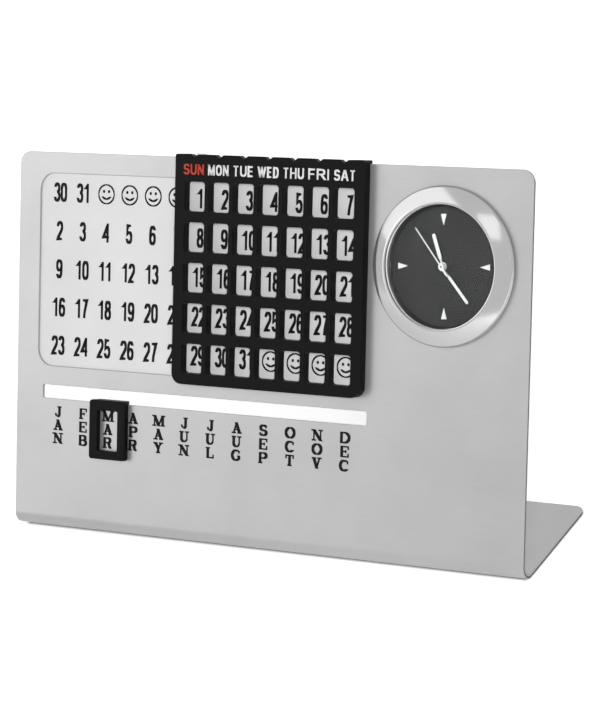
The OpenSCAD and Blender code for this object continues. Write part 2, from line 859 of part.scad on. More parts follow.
module button_cell() {
    color(silver) on_clock(cell_at) {
        rod(cell_d / 2, cell_top - cell_h, cell_top - 0.4);
        rod(cell_d / 2 - 0.7, cell_top - 0.5, cell_top);
    }
}

module base_contact() {
    color(brass) on_clock(cell_at, rear_w - contact_t)
        translate([-cell_d / 4, -0.8, 0]) cube([cell_d / 2, 1.6, contact_t]);
}

module rim_contact() {
    color(brass) on_clock(cell_at + [cell_d / 2 + 0.1, -0.9], cell_top - cell_h + 0.6)
        cube([0.3, 1.8, rear_w - cell_top + cell_h - 0.6]);
}

module tab_ring(r, w0, w1, sector, turn) {
    for (a = [0, 180]) rotate(a + turn - sector / 2) rotate_extrude(angle = sector)
        translate([cover_r - 0.5, w0]) square([r - cover_r + 0.5, w1 - w0]);
}

module clock_case() {
    color(black) on_clock() difference() {
        union() {
            tube(case_out_r, case_r, back_w, skirt_w);
            rod(case_r + eps, back_w, back_in_w);
        }
        translate(setting_at) rod(setting_r + run_gap, back_w - 1, back_in_w + 1);
        translate(cell_at) {
            rod(cover_r + cover_gap, back_w - 1, back_in_w + 1);
            tab_ring(cover_r + tab_l + 0.2, back_w - 1, back_in_w + 1, tab_a + 8, cover_turn);
        }
    }
}

module battery_cover() {
    color(black) on_clock(cell_at) difference() {
        union() {
            rod(cover_r, back_w, back_in_w);
            tube(cover_r, cover_r - 1, back_in_w - eps, back_in_w + 0.1 + tab_t);
            tab_ring(cover_r + tab_l, back_in_w + 0.1, back_in_w + 0.1 + tab_t, tab_a, 0);
        }
        translate([-3, -0.5, back_w - 1]) cube([6, 1, 1.4]);
    }
}

module grip_ring() {
    color(black) on_clock()
        tube(case_out_r + grip_gap + grip_w, case_out_r + grip_gap, -sheet_t - grip_h, -sheet_t);
}

bent_sheet();
foot_pads();
date_slider();
index_wire();
wire_saddle();
month_slider();
clock_bezel();
clock_lens();
spacer_ring();
dial();
hour_marks();
hour_hand();
minute_hand();
second_hand();
hour_wheel();
minute_pinion();
motion_wheel();
setting_knob();
second_wheel();
third_wheel();
centre_wheel();
intermediate_wheel();
rotor();
stator();
coil_core();
coil();
circuit_board();
quartz_can();
front_plate();
rear_plate();
plate_screws();
button_cell();
base_contact();
rim_contact();
clock_case();
grip_ring();
battery_cover();
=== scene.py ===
"""A perpetual desk calendar: bent steel sheet, weekday grid, month frame and clock.

Meshes are drawn in millimetres on the leaning panel and end in the frame's metres. The stage is in
metres throughout.
"""

import json
import logging
import math
from dataclasses import dataclass
from enum import Enum

import bmesh
import bpy
from mathutils import Matrix, Vector


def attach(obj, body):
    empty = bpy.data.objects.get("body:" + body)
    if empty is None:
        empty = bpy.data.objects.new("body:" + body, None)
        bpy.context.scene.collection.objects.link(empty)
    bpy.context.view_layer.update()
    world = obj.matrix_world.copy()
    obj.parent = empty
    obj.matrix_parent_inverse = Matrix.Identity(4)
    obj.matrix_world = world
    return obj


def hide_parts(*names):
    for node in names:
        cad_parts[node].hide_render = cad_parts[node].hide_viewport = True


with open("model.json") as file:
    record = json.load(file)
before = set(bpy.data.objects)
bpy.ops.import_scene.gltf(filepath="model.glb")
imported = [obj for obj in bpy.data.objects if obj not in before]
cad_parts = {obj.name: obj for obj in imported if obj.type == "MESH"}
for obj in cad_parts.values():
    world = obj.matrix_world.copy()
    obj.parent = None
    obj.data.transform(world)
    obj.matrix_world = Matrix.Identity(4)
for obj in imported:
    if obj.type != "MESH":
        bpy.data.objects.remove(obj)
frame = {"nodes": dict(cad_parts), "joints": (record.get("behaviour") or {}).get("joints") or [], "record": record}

LOG = logging.getLogger("calendar")
MILLIMETRE = 0.001
LARGE_FLAT = 60.0  # square millimetres; larger faces are shaded flat
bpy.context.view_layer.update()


# Places -----------------------------------------------------------------------------------------


@dataclass(frozen=True)
class LeaningPanel:
    """Places on the leaning panel: u to the right, v up the slope, w out of its face."""

    clock_u: float = 66.5
    clock_v: float = 96.7
    train_w: float = -5.0

    def axes(self) -> Matrix:
        """Find the panel's axes and its lower front corner from the clock's centre.

        Returns:
            The matrix from u, v, w in millimetres to the frame's metres.
        """
        joint = next(j for j in frame["joints"] if j["name"] == "seconds_turn")
        outward = Vector(joint["axis"]).normalized()
        across = Vector((1, 0, 0))
        upslope = outward.cross(across)
        centre = Vector(joint["pos_m"])
        corner = centre - MILLIMETRE * (
            self.clock_u * across + self.clock_v * upslope + self.train_w * outward
        )
        turn = Matrix((across, upslope, outward)).transposed().to_4x4()
        return Matrix.Translation(corner) @ turn @ Matrix.Scale(MILLIMETRE, 4)

    def at(self, u: float = 0.0, v: float = 0.0, w: float = 0.0) -> Matrix:
        """Return the matrix that places a mesh drawn about (u, v, w) on the panel."""
        return self.axes() @ Matrix.Translation((u, v, w))


PANEL = LeaningPanel()


# Node tools -------------------------------------------------------------------------------------


def stretched(
    tree: bpy.types.NodeTree, value: bpy.types.NodeSocket, start: tuple[float, float],
    end: tuple[float, float],
) -> bpy.types.NodeSocket:
    """Stretch a value from one range to another, and keep it there.

    Args:
        tree: The node tree.
        value: The value.
        start: The range that it comes from.
        end: The range that it goes to.

    Returns:
        The stretched value.
    """
    node = tree.nodes.new("ShaderNodeMapRange")
    node.inputs["From Min"].default_value = start[0]
    node.inputs["From Max"].default_value = start[1]
    node.inputs["To Min"].default_value = end[0]
    node.inputs["To Max"].default_value = end[1]
    tree.links.new(value, node.inputs["Value"])
    return node.outputs["Result"]


def reckoned(
    tree: bpy.types.NodeTree, operation: str, *values: "bpy.types.NodeSocket | float"
) -> bpy.types.NodeSocket:
    """Reckon with sockets and plain numbers.

    Args:
        tree: The node tree.
        operation: What the node does.
        *values: What it works on, in order.

    Returns:
        The result.
    """
    node = tree.nodes.new("ShaderNodeMath")
    node.operation = operation
    for socket, value in zip(node.inputs, values):
        if isinstance(value, bpy.types.NodeSocket):
            tree.links.new(value, socket)
        else:
            socket.default_value = value
    return node.outputs[0]


# Finishes ---------------------------------------------------------------------------------------

NOISE_MIDDLE = (0.3, 0.7)
GRAIN_LAYERS = 3.0
DRIFT_LAYERS = 2.0
GRAIN_BUMP = 0.6


class Grain(Enum):
    """How the fine detail of a finish runs."""

    EVEN = (1.0, 1.0, 1.0)
    BRUSHED_ACROSS = (0.02, 1.0, 1.0)
    DRAWN = (1.0, 1.0, 0.05)


@dataclass(frozen=True)
class Finish:
    """One surface finish, made as a node material with fine grain and slow drift."""

    name: str
    colour: tuple[float, float, float]
    metallic: float = 0.0
    roughness: float = 0.5
    specular: float = 0.5
    grain: Grain = Grain.EVEN
    grain_size: float = 0.15
    grain_depth: float = 0.004
    grain_tone: float = 0.04
    grain_rough: float = 0.05
    drift_size: float = 40.0
    drift_tone: float = 0.04

    def material(self) -> bpy.types.Material:
        """Build the material once and give the same one afterwards.

        Returns:
            The node material of this finish.
        """
        title = f"{self.name}_finish"
        made = bpy.data.materials.get(title)
        if made:
            return made
        made = bpy.data.materials.new(title)
        made.use_nodes = True
        self.wire(made.node_tree)
        return made

    def wire(self, tree: bpy.types.NodeTree) -> None:
        """Connect the grain, the drift and the shader.

        Args:
            tree: The material's node tree, with its shader already there.
        """
        shader = tree.nodes["Principled BSDF"]
        shader.inputs["Metallic"].default_value = self.metallic
        shader.inputs["Specular IOR Level"].default_value = self.specular
        place = tree.nodes.new("ShaderNodeTexCoord")
        mapping = tree.nodes.new("ShaderNodeMapping")
        mapping.inputs["Scale"].default_value = self.grain.value
        tree.links.new(place.outputs["Object"], mapping.inputs["Vector"])
        fine = self.noise(tree, mapping.outputs["Vector"], self.grain_size, GRAIN_LAYERS)
        drift = self.noise(tree, place.outputs["Object"], self.drift_size, DRIFT_LAYERS)
        tone = self.spread(tree, fine, 1.0, self.grain_tone)
        slow = self.spread(tree, drift, 1.0, self.drift_tone)
        paint = tree.nodes.new("ShaderNodeMix")
        paint.data_type = "RGBA"
        paint.blend_type = "MULTIPLY"
        paint.inputs["Factor"].default_value = 1.0
        paint.inputs[6].default_value = (*self.colour, 1.0)
        tree.links.new(reckoned(tree, "MULTIPLY", tone, slow), paint.inputs[7])
        tree.links.new(paint.outputs[2], shader.inputs["Base Color"])
        rough = self.spread(tree, fine, self.roughness, self.grain_rough)
        tree.links.new(rough, shader.inputs["Roughness"])
        bump = tree.nodes.new("ShaderNodeBump")
        bump.inputs["Strength"].default_value = GRAIN_BUMP
        bump.inputs["Distance"].default_value = self.grain_depth * MILLIMETRE
        tree.links.new(fine, bump.inputs["Height"])
        tree.links.new(bump.outputs["Normal"], shader.inputs["Normal"])

    @staticmethod
    def noise(
        tree: bpy.types.NodeTree, vector: bpy.types.NodeSocket, size: float, layers: float
    ) -> bpy.types.NodeSocket:
        """Add a noise whose lumps are about one size.

        Args:
            tree: The node tree.
            vector: The coordinates that it reads.
            size: The size of a lump, in millimetres.
            layers: How many finer layers it has.

        Returns:
            The noise's value.
        """
        node = tree.nodes.new("ShaderNodeTexNoise")
        node.inputs["Scale"].default_value = 1 / (size * MILLIMETRE)
        node.inputs["Detail"].default_value = layers
        tree.links.new(vector, node.inputs["Vector"])
        return node.outputs["Fac"]

    @staticmethod
    def spread(
        tree: bpy.types.NodeTree, noise: bpy.types.NodeSocket, middle: float, reach: float
    ) -> bpy.types.NodeSocket:
        """Spread a noise about a middle value.

        Args:
            tree: The node tree.
            noise: The noise.
            middle: The middle value.
            reach: How far it goes to either side.

        Returns:
            The spread value.
        """
        return stretched(tree, noise, NOISE_MIDDLE, (middle - reach, middle + reach))


@dataclass(frozen=True)
class ClearLens(Finish):
    """Clear mineral glass that lets the lamps' light through to the dial."""

    bend: float = 1.15

    def wire(self, tree: bpy.types.NodeTree) -> None:
        """Mix clear glass for what looks through it with plain passage for light.

        Args:
            tree: The material's node tree.
        """
        shader = tree.nodes["Principled BSDF"]
        shader.inputs["Base Color"].default_value = (*self.colour, 1.0)
        shader.inputs["Roughness"].default_value = self.roughness
        shader.inputs["IOR"].default_value = self.bend
        shader.inputs["Transmission Weight"].default_value = 1.0
        passage = tree.nodes.new("ShaderNodeBsdfTransparent")
        path = tree.nodes.new("ShaderNodeLightPath")
        mix = tree.nodes.new("ShaderNodeMixShader")
        tree.links.new(path.outputs["Is Shadow Ray"], mix.inputs["Fac"])
        tree.links.new(shader.outputs[0], mix.inputs[1])
        tree.links.new(passage.outputs[0], mix.inputs[2])
        tree.links.new(mix.outputs[0], tree.nodes["Material Output"].inputs["Surface"])


SHEET_STEEL = Finish(
    "sheet_steel", (0.362, 0.362, 0.364), metallic=0.65, roughness=0.36,
    grain=Grain.BRUSHED_ACROSS, grain_size=0.12, grain_tone=0.03, grain_rough=0.04,
    drift_size=24.0, drift_tone=0.035, grain_depth=0.0015,
)
# Painted shade: the sheet's cut sides are made dark so that they show as a dark line along its edges.
PAINTED_SIDE_SHADE = Finish(
    "painted_side_shade", (0.10, 0.10, 0.102), metallic=0.8, roughness=0.4, grain_size=0.1,
    grain_depth=0.002, grain_tone=0.08,
)
FIELD_SATIN = Finish(
    "field_satin", (0.545, 0.545, 0.545), specular=0.2, roughness=0.5, grain_size=0.1,
    grain_depth=0.001, grain_tone=0.015, drift_size=20.0, drift_tone=0.02,
)
SLIDER_BLACK = Finish(
    "slider_black", (0.003, 0.003, 0.0031), roughness=0.45, specular=0.07,
    grain_size=0.15, grain_depth=0.003, grain_tone=0.15, grain_rough=0.06, drift_tone=0.08,
)
WALL_BLACK = Finish(
    "case_black", (0.012, 0.012, 0.012), roughness=0.5, grain_size=0.25, grain_depth=0.02,
)
BEZEL_METAL = Finish(
    "bezel_metal", (0.42, 0.42, 0.424), metallic=0.8, roughness=0.12, grain_size=0.3,
    grain_depth=0.0003, grain_tone=0.01, grain_rough=0.02, drift_tone=0.015,
)
LENS_GLASS = ClearLens("lens_glass", (0.98, 0.99, 0.99), roughness=0.0)
DIAL_GREY = Finish(
    "dial_grey", (0.013, 0.013, 0.0133), roughness=0.6, specular=0.15, grain_size=0.12,
    grain_depth=0.0001, grain_tone=0.015, grain_rough=0.02, drift_size=12.0, drift_tone=0.03,
)
REHAUT_DARK = Finish(
    "rehaut_dark", (0.28, 0.28, 0.285), metallic=1.0, roughness=0.06, grain_size=0.2,
    grain_depth=0.0002, grain_tone=0.02, grain_rough=0.02,
)
MARK_SILVER = Finish(
    "mark_silver", (0.62, 0.62, 0.62), metallic=0.8, roughness=0.3, grain_size=0.1,
    grain_depth=0.0006, grain_tone=0.02,
)
SPRING_STEEL = Finish(
    "spring_steel", (0.72, 0.72, 0.73), metallic=1.0, roughness=0.18, grain=Grain.DRAWN,
    grain_size=0.1, grain_depth=0.001, grain_tone=0.03,
)
PAD_RUBBER = Finish(
    "pad_rubber", (0.03, 0.03, 0.03), roughness=0.8, specular=0.3, grain_size=0.3,
    grain_depth=0.03, grain_tone=0.1,
)
TRAIN_BRASS = Finish(
    "train_brass", (0.72, 0.52, 0.22), metallic=1.0, roughness=0.25, grain_size=0.1,
    grain_tone=0.04,
)
TRAIN_PLASTIC = Finish(
    "train_plastic", (0.80, 0.79, 0.74), roughness=0.4, grain_size=0.2, grain_tone=0.02,
)
MAGNET_DARK = Finish(
    "magnet_dark", (0.08, 0.08, 0.085), metallic=0.6, roughness=0.4, grain_size=0.1,
)
CORE_STEEL = Finish(
    "core_steel", (0.45, 0.45, 0.46), metallic=1.0, roughness=0.35, grain_size=0.1,
)
COPPER_WIRE = Finish(
    "copper_wire", (0.62, 0.27, 0.12), metallic=1.0, roughness=0.3, grain_size=0.08,
    grain_depth=0.02,
)
BOARD_GREEN = Finish(
    "board_green", (0.02, 0.12, 0.05), roughness=0.35, grain_size=0.3, grain_tone=0.15,
)
PLATE_PLASTIC = Finish(
    "plate_plastic", (0.03, 0.03, 0.032), roughness=0.5, grain_size=0.2, grain_depth=0.01,
)
CELL_STEEL = Finish(
    "cell_steel", (0.70, 0.70, 0.69), metallic=1.0, roughness=0.22, grain_size=0.1,
)
SEAL_RUBBER = Finish(
    "seal_rubber", (0.02, 0.02, 0.02), roughness=0.7, specular=0.3, grain_size=0.2,
    grain_depth=0.02,
)
INK_BLACK = Finish(
    "ink_black", (0.006, 0.006, 0.0062), roughness=0.6, specular=0.1, grain_size=0.1,
    grain_depth=0.001, grain_tone=0.15,
)
INK_WHITE = Finish(
    "ink_white", (0.55, 0.55, 0.545), roughness=0.6, specular=0.3, grain_size=0.1,
    grain_depth=0.001, grain_tone=0.02,
)
INK_RED = Finish(
    "ink_red", (0.34, 0.034, 0.019), roughness=0.6, specular=0.3, grain_size=0.1,
    grain_depth=0.001, grain_tone=0.08,
)

CAD_FINISHES = {
    "sheet_steel": SHEET_STEEL, "pad_rubber": PAD_RUBBER, "slider_black": SLIDER_BLACK,
    "spring_steel": SPRING_STEEL, "bezel_metal": BEZEL_METAL, "lens_glass": LENS_GLASS,
    "dial_grey": DIAL_GREY, "mark_silver": MARK_SILVER, "train_brass": TRAIN_BRASS,
    "train_plastic": TRAIN_PLASTIC, "magnet_dark": MAGNET_DARK, "core_steel": CORE_STEEL,
    "copper_wire": COPPER_WIRE, "board_green": BOARD_GREEN, "plate_plastic": PLATE_PLASTIC,
    "case_black": WALL_BLACK, "cell_steel": CELL_STEEL, "seal_rubber": SEAL_RUBBER,
}


# Mesh tools -------------------------------------------------------------------------------------


def piece(
    name: str, mesh: bmesh.types.BMesh, place: Matrix, finish: Finish, body: str,
    smooth: float = 35.0, extra: tuple[Finish, ...] = (),
) -> bpy.types.Object:
    """Turn a bmesh into a finished piece that rides on a body.

    Args:
        name: The piece's name.
        mesh: The bmesh, in millimetres; it is freed here.
        place: The matrix that puts it in the frame.
        finish: Its finish.
        body: The CAD body that carries it.
        smooth: Edges sharper than this many degrees stay sharp.
        extra: Further finishes, for faces whose material index is 1 and up.

    Returns:
        The new object.
    """
    bmesh.ops.remove_doubles(mesh, verts=mesh.verts, dist=1e-4)
    bmesh.ops.recalc_face_normals(mesh, faces=mesh.faces)
    mesh.transform(place)
    data = bpy.data.meshes.new(name)
    mesh.to_mesh(data)
    mesh.free()
    data.shade_smooth()
    data.set_sharp_from_angle(angle=math.radians(smooth))
    for face in data.polygons:
        face.use_smooth = face.area < LARGE_FLAT * MILLIMETRE**2
    for layer in (finish, *extra):
        data.materials.append(layer.material())
    made = bpy.data.objects.new(name, data)
    bpy.context.scene.collection.objects.link(made)
    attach(made, body)
    LOG.info("%s: %d faces on %s", name, len(data.polygons), body)
    return made


def cad_copy(node: str) -> bmesh.types.BMesh:
    """Copy a CAD node's mesh with its loose triangles joined and its flats made whole.

    Args:
        node: The node's name.

    Returns:
        A bmesh in the panel's millimetres.
    """
    mesh = bmesh.new()
    mesh.from_mesh(frame["nodes"][node].data)
    mesh.transform(PANEL.axes().inverted())
    bmesh.ops.remove_doubles(mesh, verts=mesh.verts, dist=2e-3)
    bmesh.ops.dissolve_limit(
        mesh, angle_limit=math.radians(0.5), verts=mesh.verts, edges=mesh.edges
    )
    return mesh


# Lettering --------------------------------------------------------------------------------------

BOW_STEP = 18  # degrees


@dataclass(frozen=True)
class Bow:
    """Part of an ellipse that a pen follows, between two angles in degrees."""

    x: float
    y: float
    rx: float
    ry: float
    start: float
    end: float

    def points(self) -> list[tuple[float, float]]:
        """Return points along the bow, about one for every step of its angle."""
        steps = max(2, round(abs(self.end - self.start) / BOW_STEP))
        angles = [
            math.radians(self.start + (self.end - self.start) * i / steps)
            for i in range(steps + 1)
        ]
        return [(self.x + self.rx * math.cos(a), self.y + self.ry * math.sin(a)) for a in angles]


Stroke = tuple["Bow | tuple[float, float]", ...]


@dataclass(frozen=True)
class Glyph:
    """A sign drawn with pen strokes in a unit box.

    Its width is its ink's, per height. Thin strokes have light uprights, feet are short level
    strokes, and a dot is a place and a radius in millimetres.
    """

    width: float
    strokes: tuple[Stroke, ...]
    thin: tuple[Stroke, ...] = ()
    feet: tuple[tuple[float, float], ...] = ()
    dots: tuple[tuple[float, float, float], ...] = ()


FIGURES = {
    "0": Glyph(0.425, (
        (Bow(0.5, 0.68, 0.5, 0.32, 0, 180), Bow(0.5, 0.32, 0.5, 0.32, 180, 360), (1, 0.68)),
    )),
    "1": Glyph(0.298, (((1, 0), (1, 1)), ((0, 0.74), (0.45, 0.80), (0.85, 0.97)))),
    "2": Glyph(0.425, (
        (Bow(0.5, 0.72, 0.48, 0.28, 175, -15), (0.86, 0.52), (0.5, 0.31), (0.16, 0.12), (0.02, 0),
         (1.0, 0)),
    )),
    "3": Glyph(0.425, (
        (Bow(0.5, 0.755, 0.44, 0.245, 170, -65), (0.42, 0.525)),
        ((0.42, 0.525), Bow(0.5, 0.27, 0.5, 0.27, 70, -170)),
    )),
    "4": Glyph(0.50, (((0.72, 0), (0.72, 1)), ((0.70, 0.96), (0.0, 0.26), (1.0, 0.26)))),
    "5": Glyph(0.425, (
        ((0.94, 1.0), (0.17, 1.0), (0.06, 0.50), Bow(0.5, 0.31, 0.5, 0.31, 128, -168)),
    )),
    "6": Glyph(0.425, (
        (Bow(0.5, 0.30, 0.5, 0.30, 0, 360),),
        (Bow(0.52, 0.70, 0.46, 0.30, 20, 165), (0.0, 0.55), (0.0, 0.30)),
    )),
    "7": Glyph(0.410, (((0.0, 1.0), (1.0, 1.0), (0.70, 0.62), (0.46, 0.28), (0.38, 0)),)),
    "8": Glyph(0.425, (
        (Bow(0.5, 0.765, 0.43, 0.235, 0, 360),), (Bow(0.5, 0.265, 0.5, 0.265, 0, 360),),
    )),
    "9": Glyph(0.425, (
        (Bow(0.5, 0.70, 0.5, 0.30, 0, 360),),
        (Bow(0.48, 0.30, 0.46, 0.30, 200, 345), (1.0, 0.45), (1.0, 0.70)),
    )),
}

CAPITALS = {
    "A": Glyph(0.76, (((0, 0), (0.44, 1)), ((0.56, 1), (1, 0)), ((0.2, 0.30), (0.8, 0.30)))),
    "D": Glyph(0.63, (
        ((0, 0), (0, 1), (0.45, 1), Bow(0.45, 0.62, 0.55, 0.38, 90, 0),
         Bow(0.45, 0.38, 0.55, 0.38, 0, -90), (0, 0)),
    )),
    "E": Glyph(0.58, (((1, 1), (0, 1), (0, 0), (1, 0)), ((0, 0.52), (0.9, 0.52)))),
    "F": Glyph(0.58, (((1, 1), (0, 1), (0, 0)), ((0, 0.5), (0.88, 0.5)))),
    "H": Glyph(0.68, (((0, 0), (0, 1)), ((1, 0), (1, 1)), ((0, 0.52), (1, 0.52)))),
    "I": Glyph(0.23, (((0.5, 0), (0.5, 1)),)),
    "M": Glyph(0.80, (
        ((0, 0), (0, 1)), ((1, 0), (1, 1)), ((0.02, 1), (0.5, 0)), ((0.5, 0), (0.98, 1)),
    )),
    "N": Glyph(0.66, (((0, 0), (0, 1)), ((1, 0), (1, 1)), ((0.02, 1), (0.98, 0)))),
    "O": Glyph(0.68, (
        (Bow(0.5, 0.62, 0.5, 0.38, 0, 180), Bow(0.5, 0.38, 0.5, 0.38, 180, 360), (1, 0.62)),
    )),
    "R": Glyph(0.68, (
        ((0, 0), (0, 1), (0.55, 1), Bow(0.55, 0.745, 0.4, 0.255, 90, -90), (0, 0.49)),
        ((0.50, 0.50), (1.0, 0)),
    )),
    "S": Glyph(0.64, (
        (Bow(0.5, 0.74, 0.45, 0.26, 12, 258), Bow(0.5, 0.26, 0.5, 0.26, 78, -168)),
    )),
    "T": Glyph(0.64, (((0, 1), (1, 1)), ((0.5, 1), (0.5, 0)))),
    "U": Glyph(0.66, (((0, 1), (0, 0.34), Bow(0.5, 0.34, 0.5, 0.34, 180, 360), (1, 1)),)),
    "W": Glyph(0.98, (
        ((0, 1), (0.25, 0)), ((0.25, 0), (0.5, 1)), ((0.5, 1), (0.75, 0)), ((0.75, 0), (1, 1)),
    )),
}

FOOTED = {
    "A": Glyph(
        1.10, (((0.45, 1), (0.88, 0)),), (((0.12, 0), (0.47, 1)), ((0.22, 0.32), (0.74, 0.32))),
        ((0.13, 0), (0.87, 0)),
    ),
    "B": Glyph(1.05, (
        ((0.14, 0), (0.14, 1)), ((0, 1), (0.56, 1), Bow(0.56, 0.76, 0.34, 0.24, 90, -90)),
        ((0.14, 0.52), (0.6, 0.52), Bow(0.6, 0.26, 0.4, 0.26, 90, -90), (0, 0)),
    )),
    "C": Glyph(1.05, ((Bow(0.5, 0.5, 0.5, 0.5, 48, 318),),), (((0.93, 0.98), (0.93, 0.66)),)),
    "D": Glyph(1.18, (
        ((0.13, 0), (0.13, 1)), ((0, 1), (0.46, 1), Bow(0.46, 0.5, 0.54, 0.5, 90, -90), (0, 0)),
    )),
    "E": Glyph(
        1.05, (((0.15, 0), (0.15, 1)), ((0, 1), (1, 1)), ((0.15, 0.52), (0.66, 0.52)),
               ((0, 0), (1, 0))),
        (((1, 1), (1, 0.70)), ((0.68, 0.37), (0.68, 0.67)), ((1, 0), (1, 0.32))),
    ),
    "F": Glyph(
        1.0, (((0.16, 0), (0.16, 1)), ((0, 1), (1, 1)), ((0.16, 0.5), (0.66, 0.5))),
        (((1, 1), (1, 0.68)), ((0.68, 0.35), (0.68, 0.65))), ((0.2, 0),),
    ),
    "G": Glyph(
        1.12, ((Bow(0.46, 0.5, 0.46, 0.5, 48, 318),), ((0.86, 0.42), (0.86, 0.06))),
        (((0.84, 0.98), (0.84, 0.68)), ((0.62, 0.42), (1, 0.42))),
    ),
    "J": Glyph(
        0.93, (((0.70, 1), (0.70, 0.27), Bow(0.40, 0.27, 0.30, 0.27, 0, -110)),),
        ((Bow(0.40, 0.27, 0.30, 0.27, -110, -180),),), ((0.68, 1),), ((0.08, 0.22, 0.46),),
    ),
    "L": Glyph(0.98, (((0.17, 0), (0.17, 1)), ((0, 0), (1, 0))), (((1, 0), (1, 0.34)),),
               ((0.17, 1),)),
    "M": Glyph(
        1.42, (((0.12, 1), (0.5, 0)), ((0.89, 0), (0.89, 1))),
        (((0.10, 0), (0.10, 1)), ((0.5, 0), (0.86, 1))),
        ((0.09, 0), (0.07, 1), (0.9, 0), (0.92, 1)),
    ),
    "N": Glyph(
        1.18, (((0.12, 1), (0.88, 0)),), (((0.12, 0), (0.12, 1)), ((0.88, 0), (0.88, 1))),
        ((0.12, 0), (0.06, 1), (0.88, 1)),
    ),
    "O": Glyph(1.14, ((Bow(0.5, 0.5, 0.5, 0.5, 0, 360),),)),
    "P": Glyph(
        1.05, (((0.15, 0), (0.15, 1)),
               ((0, 1), (0.58, 1), Bow(0.58, 0.74, 0.40, 0.26, 90, -90), (0.15, 0.48))), (),
        ((0.18, 0),),
    ),
    "R": Glyph(
        1.15, (((0.13, 0), (0.13, 1)),
               ((0, 1), (0.50, 1), Bow(0.50, 0.76, 0.34, 0.24, 90, -90), (0.13, 0.52)),
               ((0.50, 0.52), (0.68, 0.42), (0.76, 0.08), (0.86, 0.0), (1.02, 0.03))), (),
        ((0.14, 0),),
    ),
    "S": Glyph(
        0.92, ((Bow(0.5, 0.75, 0.44, 0.25, 25, 250), Bow(0.5, 0.25, 0.5, 0.25, 70, -155)),),
        (((0.92, 0.99), (0.92, 0.70)), ((0.02, 0.01), (0.02, 0.30))),
    ),
    "T": Glyph(
        1.03, (((0.5, 0), (0.5, 1)), ((0, 1), (1, 1))),
        (((0, 1), (0, 0.68)), ((1, 1), (1, 0.68))), ((0.5, 0),),
    ),
    "U": Glyph(
        1.10, (((0.14, 1), (0.14, 0.34), Bow(0.5, 0.34, 0.36, 0.34, 180, 270)),),
        ((Bow(0.5, 0.34, 0.36, 0.34, 270, 360), (0.86, 1)),), ((0.14, 1), (0.86, 1)),
    ),
    "V": Glyph(
        1.06, (((0.12, 1), (0.52, 0)),), (((0.50, 0), (0.86, 1)),), ((0.12, 1), (0.86, 1)),
    ),
    "Y": Glyph(
        1.10, (((0.12, 1), (0.52, 0.45)), ((0.5, 0), (0.5, 0.50))), (((0.50, 0.45), (0.86, 1)),),
        ((0.12, 1), (0.86, 1), (0.5, 0)),
    ),
}

SMILE = Glyph(1.0, (
    (Bow(0.5, 0.5, 0.5, 0.5, 0, 360),),
    (Bow(0.5, 0.524, 0.30, 0.285, 208, 332),), (Bow(0.5, 0.50, 0.23, 0.24, 218, 322),),
), dots=((0.34, 0.645, 0.55), (0.66, 0.645, 0.55)))


@dataclass(frozen=True)
class Pen:
    """A flat pen for print, heavier in its upright strokes than in its level ones."""

    upright: float
    level: float
    light: float = 0.5
    steep: float = 0.5
    ink: float = 0.03
    dot_shape: tuple[float, float] = (0.85, 1.0)
    dot_sides: int = 12
    sharpest: float = 0.5

    def half_width(self, run: Vector, weight: float) -> float:
        """Return half the width of a stroke that runs along a unit vector."""
        return 0.5 * (self.upright * weight * abs(run.y) + self.level * abs(run.x))

    def edge(self, run: Vector, weight: float) -> Vector:
        """Return the way to the left edge at an open end, cut level where the stroke is steep."""
        half = self.half_width(run, weight)
        if abs(run.y) > self.steep:
            return Vector((-half / run.y, 0.0))
        return half * Vector((-run.y, run.x))

    def stroke(self, mesh: bmesh.types.BMesh, path: list[Vector], weight: float = 1.0) -> None:
        """Lay one stroke of ink along a path, with mitred corners.

        Args:
            mesh: The bmesh that gets the stroke.
            path: The stroke's middle line, with its first point repeated if it closes.
            weight: The weight of its upright runs, 1 for the pen's own.
        """
        closed = (path[0] - path[-1]).length < 1e-6
        runs = [(b - a).normalized() for a, b in zip(path, path[1:])]
        strip = bmesh.ops.create_grid(mesh, x_segments=len(runs), y_segments=1, size=1.0)
        rows = (strip["verts"][: len(path)], strip["verts"][len(path):])
        for i, point in enumerate(path):
            if not closed and i in (0, len(runs)):
                side = self.edge(runs[min(i, len(runs) - 1)], weight)
            else:
                before = runs[i - 1]
                after = runs[i % len(runs)]
                middle = (before + after).normalized()
                reach = 1 / max(self.sharpest, middle.dot(after))
                side = self.half_width(middle, weight) * reach * Vector((-middle.y, middle.x))
            for row, sign in zip(rows, (-1, 1)):
                place = point + sign * side
                row[i].co = (place.x, place.y, 0.0)

    def dot(self, mesh: bmesh.types.BMesh, place: Vector, radius: float) -> None:
        """Lay one oval dot of ink, a little taller than wide."""
        shape = Matrix.Diagonal((*self.dot_shape, 1, 1))
        bmesh.ops.create_circle(
            mesh, cap_ends=True, segments=self.dot_sides, radius=radius,
            matrix=Matrix.Translation((place.x, place.y, 0.0)) @ shape,
        )

    def solid(self, mesh: bmesh.types.BMesh) -> None:
        """Give the flat ink its thickness."""
        bmesh.ops.remove_doubles(mesh, verts=mesh.verts, dist=1e-5)
        bmesh.ops.recalc_face_normals(mesh, faces=mesh.faces)
        for face in mesh.faces:
            if face.normal.z < 0:
                face.normal_flip()
        lifted = bmesh.ops.extrude_face_region(mesh, geom=list(mesh.faces), use_keep_orig=True)
        top = [v for v in lifted["geom"] if isinstance(v, bmesh.types.BMVert)]
        bmesh.ops.translate(mesh, verts=top, vec=(0, 0, self.ink))


